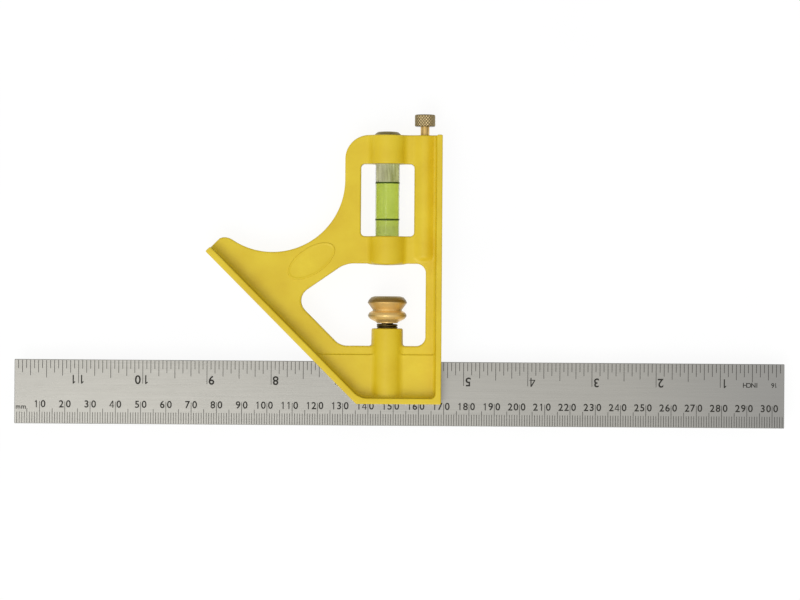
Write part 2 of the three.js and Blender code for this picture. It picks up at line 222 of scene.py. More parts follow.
def extrude_path(stations, section_size):
    """Faces of a tube whose points are stations of section_size points each, closed by end caps."""
    faces = []
    for s in range(stations - 1):
        for i in range(section_size):
            j = (i + 1) % section_size
            low, high = s * section_size, (s + 1) * section_size
            faces.append([low + i, low + j, high + j, high + i])
    faces.append(list(range(section_size))[::-1])
    faces.append([(stations - 1) * section_size + i for i in range(section_size)])
    return faces


# ---- Signed distances, negative inside, for the cast and machined pieces ----


def round_max(a, b, radius):
    """Where both shapes are, with the edge between them rounded off."""
    corner = np.hypot(np.maximum(a + radius, 0), np.maximum(b + radius, 0))
    return np.minimum(np.maximum(a, b), -radius) + corner


def round_min(a, b, radius):
    """Where either shape is, with a fillet between them."""
    return -round_max(-a, -b, radius)


def surface_of(distance, low, high, step, relaxing=6):
    """Points, quads and normals of the surface where distance(x, y, z) is zero, inside a box.

    One point sits in each grid cell that the surface crosses. The points are then spread evenly and
    drawn onto the surface itself, so its curves come out smooth.
    """
    axes = [np.arange(a - step, b + 2 * step, step) for a, b in zip(low, high)]
    x, y, z = np.meshgrid(*axes, indexing="ij", sparse=True)
    field = np.broadcast_to(distance(x, y, z), tuple(len(a) for a in axes))
    inside = field < 0

    def cells(grid, i, j, k):
        return grid[i : grid.shape[0] - 1 + i, j : grid.shape[1] - 1 + j, k : grid.shape[2] - 1 + k]

    corners = sum(cells(inside, i, j, k).astype(int) for i in (0, 1) for j in (0, 1) for k in (0, 1))
    active = np.argwhere((corners > 0) & (corners < 8))
    number = np.full(corners.shape, -1)
    number[tuple(active.T)] = np.arange(len(active))
    points = np.stack([axes[n][active[:, n]] for n in range(3)], axis=1) + step / 2

    faces = []
    for n in range(3):
        side, up = (n + 1) % 3, (n + 2) % 3
        ahead = np.take(inside, range(1, inside.shape[n]), axis=n)
        behind = np.take(inside, range(inside.shape[n] - 1), axis=n)
        crossed = np.argwhere(ahead != behind)
        crossed = crossed[(crossed[:, side] > 0) & (crossed[:, up] > 0)]
        leaving = behind[tuple(crossed.T)]
        ring = []
        for du, dv in ((1, 1), (0, 1), (0, 0), (1, 0)):
            cell = crossed.copy()
            cell[:, side] -= du
            cell[:, up] -= dv
            ring.append(number[tuple(cell.T)])
        quads = np.stack(ring, axis=1)
        faces.append(np.where(leaving[:, None], quads, quads[:, ::-1]))
    faces = np.concatenate(faces)

    edges = np.concatenate([faces[:, [i, (i + 1) % 4]] for i in range(4)])
    count = np.bincount(edges[:, 0], minlength=len(points))
    nudge = step / 50
    for turn in range(relaxing):
        if turn:
            mean = [np.bincount(edges[:, 0], points[edges[:, 1], n], len(points)) for n in range(3)]
            points += 0.5 * (np.stack(mean, axis=1) / count[:, None] - points)
        for _ in range(2):
            slope = gradient(distance, points, nudge)
            value = distance(*points.T)
            length = np.maximum((slope**2).sum(1), 0.25)
            move = np.clip(value / length, -step / 2, step / 2)
            points -= slope * move[:, None]
    slope = gradient(distance, points, nudge)
    return points, faces, slope / np.maximum(np.linalg.norm(slope, axis=1), 1e-9)[:, None]


def gradient(distance, points, nudge):
    """The slope of distance at each point, from two samples a nudge apart on every axis."""
    slope = np.zeros_like(points)
    for n in range(3):
        shift = np.zeros(3)
        shift[n] = nudge
        slope[:, n] = (distance(*(points + shift).T) - distance(*(points - shift).T)) / (2 * nudge)
    return slope


def post(x, z, centre_x, radius):
    """An upright cylinder with no ends."""
    return np.hypot(x - centre_x, z) - radius


# ---- Head casting ----


def mitre_depth(x, y):
    """How deep a point lies behind the mitre face."""
    return (x + y - MITRE_FOOT) / math.sqrt(2)


def head_outline(x, y):
    """The casting seen from the front, without its window and opening."""
    waist = WAIST_RADIUS - np.hypot(x - WAIST_X, y - WAIST_Y)
    flank = np.where(y > WAIST_Y, FLANK - x, -HEAD_HEIGHT)
    top = round_max(y - HEAD_HEIGHT, flank, TOP_CORNER_RADIUS)
    lip_end = (y - x + MITRE_FOOT - 2 * MITRE_RISE) / math.sqrt(2)
    nose_end = (x - NOSE_X) * math.cos(NOSE_SLOPE) + (y - NOSE_Y) * math.sin(NOSE_SLOPE)
    nose_end = round_min(nose_end, mitre_depth(x, y) - MITRE_LIP - NOSE_STEP, NOSE_FILLET)
    nose = round_max(waist, nose_end, NOSE_RADIUS)
    working = np.maximum(np.maximum(x, -y), -mitre_depth(x, y))
    return np.maximum(np.maximum(np.maximum(working, top), lip_end), nose)


def window(x, y):
    """The rectangle that the vial shows in."""
    half_x, half_y = ((WINDOW_HIGH[n] - WINDOW_LOW[n]) / 2 for n in (0, 1))
    across = np.abs(x - WINDOW_LOW[0] - half_x) - half_x
    along = np.abs(y - WINDOW_LOW[1] - half_y) - half_y
    return round_max(across, along, WINDOW_CORNER)


def thumb_opening(x, y):
    """The five-sided opening round the lock nut: square at the right, two slopes at the left."""
    right = round_max(x - OPENING_RIGHT, OPENING_LOW - y, OPENING_RIGHT_CORNER)
    right = round_max(right, y - OPENING_TOP, OPENING_RIGHT_CORNER)
    lower = (OPENING_LOWER_LEFT + OPENING_LOW - x - y) / math.sqrt(2)
    rise, run = math.sin(OPENING_UPPER_SLOPE), math.cos(OPENING_UPPER_SLOPE)
    upper = (y - OPENING_TOP) * run - (x - OPENING_UPPER_LEFT) * rise
    left = round_max(lower, upper, OPENING_LEFT_CORNER)
    return round_max(right, left, OPENING_SLOPE_CORNER)


def bosses(x, y, z):
    """The upright bosses as (distance, fillet where it meets the web)."""
    bulge = VIAL_BOSS_BOTTOM + (x - VIAL_X) ** 2 / (2 * VIAL_BOSS_BULGE)
    vial = round_max(post(x, z, VIAL_X, VIAL_BOSS_RADIUS), bulge - y, VIAL_BOSS_ROUNDING)
    lock = post(x, z, LOCK_X, LOCK_BOSS_RADIUS) - LOCK_BOSS_DRAFT * (LOCK_BOSS_TOP - y)
    lock = round_max(lock, y - LOCK_BOSS_TOP, LOCK_BOSS_ROUNDING)
    guide = post(x, z, SCRIBER_X, SCRIBER_BOSS_RADIUS)
    guide = round_max(guide, SCRIBER_BOSS_BOTTOM - y, SCRIBER_BOSS_ROUNDING)
    return (vial, BOSS_FILLET), (lock, LOCK_BOSS_FILLET), (guide, BOSS_FILLET)


def head_body(x, y, z):
    """The casting before its holes: web, lips and bosses inside the outline."""
    depth = np.abs(z)
    web = depth - HALF_WEB
    housing = round_max(depth - HALF_HOUSING, y - HOUSING_TOP, HOUSING_FILLET)
    web = round_min(web, housing, HOUSING_FILLET)
    web = round_min(web, -SQUARE_LIP - x, SQUARE_FILLET)
    web = round_min(web, y - FOOT_LIP, LIP_FILLET)
    web = round_min(web, mitre_depth(x, y) - MITRE_LIP, LIP_FILLET)
    web = round_max(web, -thumb_opening(x, y), OPENING_ROUNDING)
    for boss, fillet in bosses(x, y, z):
        web = round_min(web, boss, fillet)
    web = round_max(web, head_outline(x, y), OUTLINE_ROUNDING)
    return round_max(web, depth - HALF_FACE, FACE_ROUNDING)


def upright_hole(x, y, z, centre_x, radius, bottom, top=None):
    """A round hole from bottom up to top, or right out of the head where there is no top."""
    ends = bottom - y if top is None else np.maximum(bottom - y, y - top)
    return np.maximum(post(x, z, centre_x, radius), ends)


def head_distance(x, y, z):
    above_boss = LOCK_BOSS_TOP + 1
    holes = (
        np.maximum(np.abs(z) - RULE_HIGH.z - SLOT_GAP, y - RULE_HIGH.y - SLOT_GAP),
        upright_hole(x, y, z, SCRIBER_X, SCRIBER_NEEDLE_HOLE, SCRIBER_BOSS_BOTTOM + 1),
        upright_hole(x, y, z, SCRIBER_X, SCRIBER_HOLE_RADIUS, HEAD_HEIGHT - BUSH_LENGTH),
        upright_hole(x, y, z, VIAL_X, VIAL_HOLE_RADIUS, VIAL_HOLE_BOTTOM),
        upright_hole(x, y, z, LOCK_X, LOCK_BORE_RADIUS, LOCK_BORE_BOTTOM, above_boss),
        upright_hole(x, y, z, LOCK_X, SPRING_POCKET_RADIUS, SPRING_POCKET_FLOOR, above_boss),
    )
    body = round_max(head_body(x, y, z), -window(x, y), OUTLINE_ROUNDING)
    for hole in holes:
        body = round_max(body, -hole, HOLE_ROUNDING)
    return body


HEAD_STEP = 0.42
BARE_WITHIN = 0.012


def head_casting(enamel, machined):
    """The painted casting. What lies within BARE_WITHIN of a working face is bare metal."""
    low, high = tool_box("head_casting")
    points, faces, normals = surface_of(head_distance, low, high, HEAD_STEP)
    points = np.clip(points, np.array(low), np.array(high))
    piece = add_piece(
        "head_casting_finished", points, faces, [enamel, machined], "head",
        ["head_casting"], normals,
    )
    x, y, _ = points[faces].mean(axis=1).T
    bare = np.minimum(np.minimum(-x, y), mitre_depth(x, y)) < BARE_WITHIN
    piece.data.polygons.foreach_set("material_index", bare.astype(np.int32))


# ---- Badge: a plain raised oval on the web ----

BADGE_X, BADGE_Y = -51.5, 56.2
BADGE_LENGTH, BADGE_WIDTH = 21.2, 10.4
BADGE_TILT = math.radians(34)


def badge(enamel):
    """A low rim around a plain field. Each pair says how far in from the oval's edge, and how high."""
    section = [
        (0, -0.3), (0, 0.12), (0.12, 0.27), (0.3, 0.3),
        (0.5, 0.26), (0.75, 0.12), (1.1, 0.1), (4, 0.12),
    ]
    sides = 96
    turn = np.arange(sides) * 2 * math.pi / sides
    points = []
    for inset, height in section:
        along = (BADGE_LENGTH / 2 - inset) * np.cos(turn)
        across = (BADGE_WIDTH / 2 - inset) * np.sin(turn)
        x = BADGE_X + along * math.cos(BADGE_TILT) - across * math.sin(BADGE_TILT)
        y = BADGE_Y + along * math.sin(BADGE_TILT) + across * math.cos(BADGE_TILT)
        points += list(zip(x, y, np.full(sides, HALF_WEB + height)))
    faces = extrude_path(len(section), sides)
    add_piece("badge_oval", points, faces, [enamel], "head")


# ---- Rule and its markings ----

INCH = 25.4
EDGE_BEVEL = 0.16
MARK_RISE, MARK_SINK, MARK_MARGIN = 0.012, 0.01, 0.25
INCH_LINE_WIDTH, MM_LINE_WIDTH = 0.22, 0.21
INCH_FIGURE, MM_FIGURE, UNIT_FIGURE = 3.5, 2.85, 1.9
INCH_ROW, MM_ROW, INCH_UNIT_ROW, MM_UNIT_ROW = 5.8, 6.1, 7.2, 5.5
FIGURE_WEIGHT = 0.018


def rule_section(inset):
    """The rule's section as (y, z), with a groove along the back. inset draws its outline in."""
    low, high = RULE_LOW.y + inset, RULE_HIGH.y - inset
    right, left = RULE_MIDDLE - GROOVE_WIDTH / 2 - inset, RULE_MIDDLE + GROOVE_WIDTH / 2 + inset
    front, back = RULE_HIGH.z - inset, inset - RULE_HIGH.z
    floor = GROOVE_DEPTH - RULE_HIGH.z + inset
    bevel = EDGE_BEVEL
    return [
        (low, front - bevel), (low, back + bevel), (low + bevel, back), (right - bevel, back),
        (right, back + bevel), (right, floor), (left, floor), (left, back + bevel),
        (left + bevel, back), (high - bevel, back), (high, back + bevel), (high, front - bevel),
        (high - bevel, front), (low + bevel, front),
    ]


def rule_blade(steel, edge_steel):
    """The blade, with one finish on its flat faces and another on its ground edges."""
    ends = [(RULE_LOW.x, EDGE_BEVEL), (RULE_LOW.x + EDGE_BEVEL, 0)]
    ends += [(RULE_HIGH.x - EDGE_BEVEL, 0), (RULE_HIGH.x, EDGE_BEVEL)]
    points = [(x, y, z) for x, inset in ends for y, z in rule_section(inset)]
    faces = extrude_path(len(ends), len(rule_section(0)))
    piece = add_piece("rule_blade", points, faces, [steel, edge_steel], "rule", ["rule"])
    piece.data.shade_flat()
    for face in piece.data.polygons:
        face.material_index = 0 if abs(face.normal.z) > 0.99 else 1


def digit_shapes(height):
    """Each figure as (points, faces), standing on y = 0 and centred on x = 0, at the given height.

    They come from Blender's own font, but for 1 and 4, which are drawn here one unit high.
    """
    shapes = {}
    for character in "0123456789mINCH":
        curve = bpy.data.curves.new("digit", "FONT")
        curve.body = character
        curve.resolution_u, curve.offset = 4, FIGURE_WEIGHT
        text = bpy.data.objects.new("digit", curve)
        bpy.context.scene.collection.objects.link(text)
        graph = bpy.context.evaluated_depsgraph_get()
        mesh = bpy.data.meshes.new_from_object(text.evaluated_get(graph))
        points = np.array([v.co for v in mesh.vertices])
        low, high = points.min(axis=0), points.max(axis=0)
        points -= ((low[0] + high[0]) / 2, low[1], 0)
        faces = [list(face.vertices)[::1 if face.normal.z > 0 else -1] for face in mesh.polygons]
        shapes[character] = (points, faces, high[1] - low[1])
        bpy.data.objects.remove(text)
        bpy.data.curves.remove(curve)
        bpy.data.meshes.remove(mesh)
    tall = shapes["1"][2]
    scaled = {key: (points * height / tall, faces) for key, (points, faces, _) in shapes.items()}
    one = [(-0.02, 0), (0.12, 0), (0.12, 1), (0.0, 1), (-0.2, 0.8), (-0.14, 0.72), (-0.02, 0.8)]
    scaled["1"] = (np.array([(a, b, 0) for a, b in one]) * height, [(0, 1, 2, 3, 6), (6, 3, 4, 5)])
    four = [
        (0.09, 0), (0.21, 0), (0.21, 0.22), (0.32, 0.22), (0.32, 0.32), (0.21, 0.32), (0.21, 1),
        (0.07, 1), (-0.33, 0.32), (-0.33, 0.22), (0.09, 0.22), (0.09, 0.32), (-0.19, 0.32), (0.09, 0.76),
    ]
    strokes = [
        (0, 1, 2, 10), (9, 10, 11, 12, 8), (10, 2, 5, 11), (2, 3, 4, 5), (11, 5, 6, 13), (8, 12, 13, 6, 7),
    ]
    scaled["4"] = (np.array([(a, b, 0) for a, b in four]) * height, strokes)
    return scaled


class Markings:
    """Collects the lines and figures of the rule's front."""

    def __init__(self):
        self.points, self.faces = [], []

    def add(self, points, faces):
        start = len(self.points)
        self.points += [tuple(p) for p in points]
        self.faces += [[start + v for v in face] for face in faces]

    def line(self, x, edge, length, width):
        """A line across the rule, inward from an edge at y, by a signed length."""
        low, high = sorted((edge, edge + length))
        bottom, top = RULE_HIGH.z - MARK_SINK, RULE_HIGH.z + MARK_RISE
        outline = ((-1, low), (1, low), (1, high), (-1, high))
        corners = [(x + side * width / 2, y, z) for z in (bottom, top) for side, y in outline]
        walls = [(i, (i + 1) % 4, (i + 1) % 4 + 4, i + 4) for i in range(4)]
        self.add(corners, [(3, 2, 1, 0), (4, 5, 6, 7), *walls])

    def digit(self, shape, x, y, turned):
        """A figure as a thin closed solid, upside down where it is turned."""
        points, faces = shape
        flip, count = -1 if turned else 1, len(points)
        top = points * (flip, flip, 0) + (x, y, RULE_HIGH.z + MARK_RISE)
        bottom = top - (0, 0, MARK_SINK + MARK_RISE)
        edges = {edge for face in faces for edge in zip(face, (*face[1:], face[0]))}
        walls = [(b, a, a + count, b + count) for a, b in sorted(edges) if (b, a) not in edges]
        under = [tuple(count + v for v in reversed(face)) for face in faces]
        self.add(np.concatenate([top, bottom]), [*faces, *under, *walls])


def line_length(step, lengths):
    """The length for a line of this number: lengths is (how many lines apart, length), longest first."""
    return next(length for every, length in lengths if step % every == 0)


def rule_markings(ink):
    """Upside-down sixteenths of an inch at the far edge and millimetres at the near, on both sides."""
    marks = Markings()
    top, bottom = RULE_HIGH.y - MARK_MARGIN, RULE_LOW.y + MARK_MARGIN

    sixteenths = ((16, 9.4), (8, 7.2), (4, 6.4), (2, 5.2), (1, 3.6))
    for step in range(1, 12 * 16):
        length = MARK_MARGIN - line_length(step, sixteenths)
        marks.line(RULE_HIGH.x - step * INCH / 16, top, length, INCH_LINE_WIDTH)
    figures = digit_shapes(INCH_FIGURE)
    for inch in range(1, 12):
        places = (1.8,) if inch < 10 else (1.35, -1.95)
        for place, character in zip(places, str(inch)):
            marks.digit(figures[character], RULE_HIGH.x - inch * INCH + place, top - INCH_ROW, True)

    millimetres = ((10, 8.8), (5, 6.0), (1, 4.6))
    for step in range(1, round(RULE_HIGH.x - RULE_LOW.x)):
        length = line_length(step, millimetres) - MARK_MARGIN
        marks.line(RULE_LOW.x + step, bottom, length, MM_LINE_WIDTH)
    figures = digit_shapes(MM_FIGURE)
    for step in range(10, 301, 10):
        x = RULE_LOW.x + step
        for place, character in enumerate(reversed(str(step))):
            offset = 1.4 - 2.8 * min(place, 1) - 2.3 * max(place - 1, 0)
            marks.digit(figures[character], x + offset, bottom + MM_ROW, False)

    figures = digit_shapes(UNIT_FIGURE)
    for place, character in zip((1.5, 3.7), "mm"):
        marks.digit(figures[character], RULE_LOW.x + place, bottom + MM_UNIT_ROW, False)
    for place, character in zip((3.4, 4.6, 10.9, 12.3, 14.0, 15.6), "16INCH"):
        marks.digit(figures[character], RULE_HIGH.x - place, top - INCH_UNIT_ROW, True)

    front = np.array(marks.points)
    back = front * (1, -1, -1) + (0, 2 * RULE_MIDDLE, 0)
    faces = marks.faces + [[len(front) + v for v in face] for face in marks.faces]
    points = np.concatenate([front, back])
    piece = add_piece("rule_markings", points, faces, [ink], "rule")
    piece.data.shade_flat()


# ---- Lock bolt, spring and nut ----

SHANK_RADIUS, SHANK_BOTTOM = 3.0, 2.2
THREAD_RADIUS, THREAD_TOP, THREAD_PITCH, THREAD_DEPTH = 2.5, 38.8, 1.0, 0.45
HOOK_WIDTH, HOOK_HEIGHT, HOOK_PLAY, HOOK_ROOT = 4.4, 2.4, 0.2, 0.5
BOLT_DRAW, BOLT_ROUNDING = 0.5, 0.15
SPRING_RADIUS, WIRE_RADIUS, SPRING_TURNS = 3.8, 0.38, 7
KNOB_WAIST, KNOB_RIM, KNURLED_FROM = 5.75, 7.83, 7.7


def bolt_distance(x, y, z):
    """A shank and its thread, cut away in front for the rule, with a hook in the rule's groove."""
    round_part = post(x, z, LOCK_X, SHANK_RADIUS)
    shank = np.maximum(round_part, np.maximum(SHANK_BOTTOM - y, y - SPRING_POCKET_FLOOR))
    angle = np.arctan2(z, x - LOCK_X) / (2 * math.pi)
    wave = np.abs((y / THREAD_PITCH - angle) % 1 - 0.5) * 2
    depth = THREAD_DEPTH * wave * np.clip((y - SPRING_POCKET_FLOOR - 1) / 0.5, 0, 1)
    screw = round_max(post(x, z, LOCK_X, THREAD_RADIUS) + depth, y - THREAD_TOP, 0.5)
    body = np.minimum(shank, np.maximum(screw, SPRING_POCKET_FLOOR - 1 - y))
    space = np.maximum(-RULE_HIGH.z - SLOT_GAP - z, y - RULE_HIGH.y - BOLT_DRAW - SLOT_GAP)
    body = round_max(body, -space, BOLT_ROUNDING)
    hook_top = (RULE_LOW.y + RULE_HIGH.y + GROOVE_WIDTH) / 2 - HOOK_PLAY
    hook_y = np.abs(y - hook_top + HOOK_HEIGHT / 2) - HOOK_HEIGHT / 2
    hook_back = -RULE_HIGH.z - SLOT_GAP - HOOK_ROOT
    hook_z = np.maximum(z - GROOVE_DEPTH + RULE_HIGH.z + SLOT_GAP, hook_back - z)
    hook = np.maximum(np.abs(x - LOCK_X) - HOOK_WIDTH / 2, hook_z)
    return np.minimum(body, round_max(hook, hook_y, BOLT_ROUNDING))


def lock_bolt(steel):
    low, high = tool_box("lock_bolt")
    points, faces, normals = surface_of(bolt_distance, low, high, 0.22, relaxing=3)
    add_piece(
        "lock_bolt_threaded", points, faces, [steel], "lock_bolt", ["lock_bolt"], normals
    )


def lock_spring(steel):
    """A compression spring with closed ends, from the bolt up to the nut."""
    low, high = tool_box("lock_spring")
    bottom, top = low.y + WIRE_RADIUS, high.y - WIRE_RADIUS
    stations, sides = 40 * SPRING_TURNS, 12
    points = []
    for station in range(stations + 1):
        t = station / stations
        angle = 2 * math.pi * SPRING_TURNS * t
        eased = np.clip((t * SPRING_TURNS - 0.5) / (SPRING_TURNS - 1), 0, 1)
        centre = bottom + (top - bottom) * (0.12 * t + 0.88 * eased)
        for k in range(sides):
            around = 2 * math.pi * k / sides
            reach = SPRING_RADIUS + WIRE_RADIUS * math.cos(around)
            y = centre + WIRE_RADIUS * math.sin(around)
            points.append((LOCK_X + reach * math.sin(angle), y, reach * math.cos(angle)))
    faces = extrude_path(stations + 1, sides)
    piece = mesh_object("lock_spring_coil", in_row(points).tolist(), faces, [steel])
    piece.data.shade_smooth()
    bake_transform(piece)
    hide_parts("lock_spring")


def lock_knob(brass):
    """A spool-shaped nut with two rims, the upper one straight and knurled."""
    low, high = tool_box("lock_knob")
    bottom, top = low.y, high.y
    bore, bore_top = THREAD_RADIUS + 0.1, bottom + 8.6
    outside = rounded(
        [
            (bore, bottom, 0), (4.2, bottom, 0.12), (4.3, bottom + 0.4, 0.3), (6.8, bottom + 1.6, 2.0),
            (KNOB_RIM, bottom + 2.9, 0.9), (7.1, bottom + 4.15, 0.6), (KNOB_WAIST, bottom + 4.95, 0.3),
            (KNOB_WAIST, bottom + 5.25, 0.3), (KNOB_RIM, bottom + 8.1, 0.5), (7.3, bottom + 9.2, 0.5),
            (6.4, top - 0.45, 0.6), (5.0, top, 0.5), (0, top, 0),
        ],
        steps=5,
    )
    profile = refined(outside + [(0, bore_top), (bore, bore_top)], longest=0.3)

    def knurl(radius, y, angles):
        if radius < KNURLED_FROM:
            return 0 * angles
        return 0.02 * (np.abs(np.sin(45 * angles)) - 1)

    points, faces = lathe(profile, LOCK_X, 432, knurl)
    piece = add_piece("lock_knob_turned", points, faces, [brass], "lock_knob", ["lock_knob"])
    sharpen(piece, 50)


# ---- Spirit level ----


def turned_piece(name, corners, x, material, replaces, body="head", sides=96, open_bore=False):
    """A lathe piece about the vertical axis at x. corners are (radius, y, corner radius)."""
    points, faces = lathe(rounded(corners, closed=open_bore), x, sides)
    piece = add_piece(name, points, faces, [material], body, [replaces])
    sharpen(piece)


def spirit_level(looks):
    """The vial with its liquid, plug and printed rings, on its pad and under its cap."""
    low, high = tool_box("vial_barrel")
    wall_floor = low.y + 1.8
    turned_piece(
        "vial_tube",
        [
            (0, low.y, 0), (VIAL_RADIUS, low.y, 0.5), (VIAL_RADIUS, high.y, 0.2),
            (VIAL_BORE, high.y, 0.2), (VIAL_BORE, wall_floor, 1.2), (0, wall_floor, 0),
        ],
        VIAL_X, looks["clear"], "vial_barrel",
    )
    fluid_low, fluid_high = tool_box("vial_fluid")
    fluid_radius = VIAL_BORE - 0.02
    turned_piece(
        "vial_liquid",
        [
            (0, fluid_low.y - 0.08, 0), (fluid_radius, fluid_low.y - 0.08, 1.2),
            (fluid_radius, fluid_high.y, 0), (fluid_radius - 0.25, fluid_high.y - 0.35, 0.3),
            (fluid_radius - 1, fluid_high.y - 0.6, 0.5), (0, fluid_high.y - 0.7, 0),
        ],
        VIAL_X, looks["fluid"], "vial_fluid",
    )
    plug_low, plug_high = tool_box("vial_end_plug")
    turned_piece(
        "vial_end_plug_turned",
        [
            (0, plug_low.y, 0), (VIAL_BORE - 0.1, plug_low.y, 0.4), (VIAL_BORE - 0.1, plug_high.y - 0.8, 0),
            (VIAL_RADIUS, plug_high.y - 0.8, 0), (VIAL_RADIUS, plug_high.y, 0.3), (0, plug_high.y, 0),
        ],
        VIAL_X, looks["nylon"], "vial_end_plug",
    )
    for node in ("vial_line_upper", "vial_line_lower"):
        line_low, line_high = tool_box(node)
        inner, outer = VIAL_RADIUS + 0.005, VIAL_RADIUS + 0.06
        turned_piece(
            node + "_printed",
            [
                (inner, line_low.y, 0), (outer, line_low.y, 0.02),
                (outer, line_high.y, 0.02), (inner, line_high.y, 0),
            ],
            VIAL_X, looks["vial_ink"], node, open_bore=True,
        )
    pad_low, pad_high = tool_box("vial_cushion")
    pad_radius = VIAL_HOLE_RADIUS - 0.1
    turned_piece(
        "vial_cushion_moulded",
        [
            (0, pad_low.y, 0), (pad_radius, pad_low.y, 0.4), (pad_radius, pad_high.y, 0.4),
            (pad_radius - 1.2, pad_high.y, 0.3), (pad_radius - 1.6, pad_high.y - 0.4, 0.3),
            (0, pad_high.y - 0.4, 0),
        ],
        VIAL_X, looks["rubber"], "vial_cushion",
    )
    cap_low, cap_high = tool_box("vial_cap")
    rim, spigot = HEAD_HEIGHT + 0.05, VIAL_HOLE_RADIUS - 0.1
    turned_piece(
        "vial_cap_domed",
        [
            (0, cap_low.y, 0), (spigot, cap_low.y, 0.4), (spigot, rim, 0), (5.2, rim, 0.1),
            (5.1, rim + 0.35, 0.3), (4.1, cap_high.y - 0.15, 1.2), (2.6, cap_high.y, 1.5), (0, cap_high.y, 0),
        ],
        VIAL_X, looks["dull_brass"], "vial_cap",
    )


# ---- Scriber ----


def scriber(looks):
    """The bush in the head, and the knurled grip with its shank and needle."""
    bush_low, bush_high = tool_box("scriber_bush")
    bore, wall = 1.85, 2.6
    turned_piece(
        "scriber_bush_turned",
        [
            (bore, bush_low.y, 0.1), (wall, bush_low.y, 0.2),
            (wall, bush_high.y, 0.2), (bore, bush_high.y, 0.2),
        ],
        SCRIBER_X, looks["dull_brass"], "scriber_bush", open_bore=True,
    )
    grip_low, grip_high = tool_box("scriber_handle")
    needle_low, needle_high = tool_box("scriber_needle")
    shank, needle, grip, grip_bottom = 1.75, 1.0, 4.05, 109.75
    hole, hole_top = needle + 0.02, needle_high.y + 0.1
    outside = rounded(
        [
            (hole, grip_low.y, 0), (shank, grip_low.y, 0.25), (shank, grip_bottom, 0),
            (grip, grip_bottom, 0.45), (grip, grip_high.y, 0.45), (0, grip_high.y, 0),
        ]
    )
    profile = refined(outside + [(0, hole_top), (hole, hole_top)], longest=0.14)

    def diamonds(radius, y, angles):
        if radius < grip - 0.1:
            return 0 * angles
        starts, twist, groove = 10, 2.4, 0.26
        first, second = np.sin(starts * angles + twist * y), np.sin(starts * angles - twist * y)
        return groove * (np.minimum(np.abs(first), np.abs(second)) - 0.85).clip(-1, 0)

    points, faces = lathe(profile, SCRIBER_X, 264, diamonds)
    piece = add_piece(
        "scriber_grip_knurled", points, faces, [looks["knurled"], looks["bright_brass"]], "scriber",
        ["scriber_handle"],
    )
    grip_y = (grip_bottom + ORIGIN.y) * MM
    for face in piece.data.polygons:
        face.material_index = 1 if face.center.y < grip_y - 0.01 * MM else 0
    sharpen(piece, 50)
    turned_piece(
        "scriber_point",
        [
            (0, needle_low.y, 0), (0.12, needle_low.y + 0.15, 0.1), (needle, needle_low.y + 5, 1),
            (needle, needle_high.y, 0.1), (0, needle_high.y, 0),
        ],
        SCRIBER_X, looks["needle"], "scriber_needle", body="scriber", sides=48,
    )


# ---- Materials ----


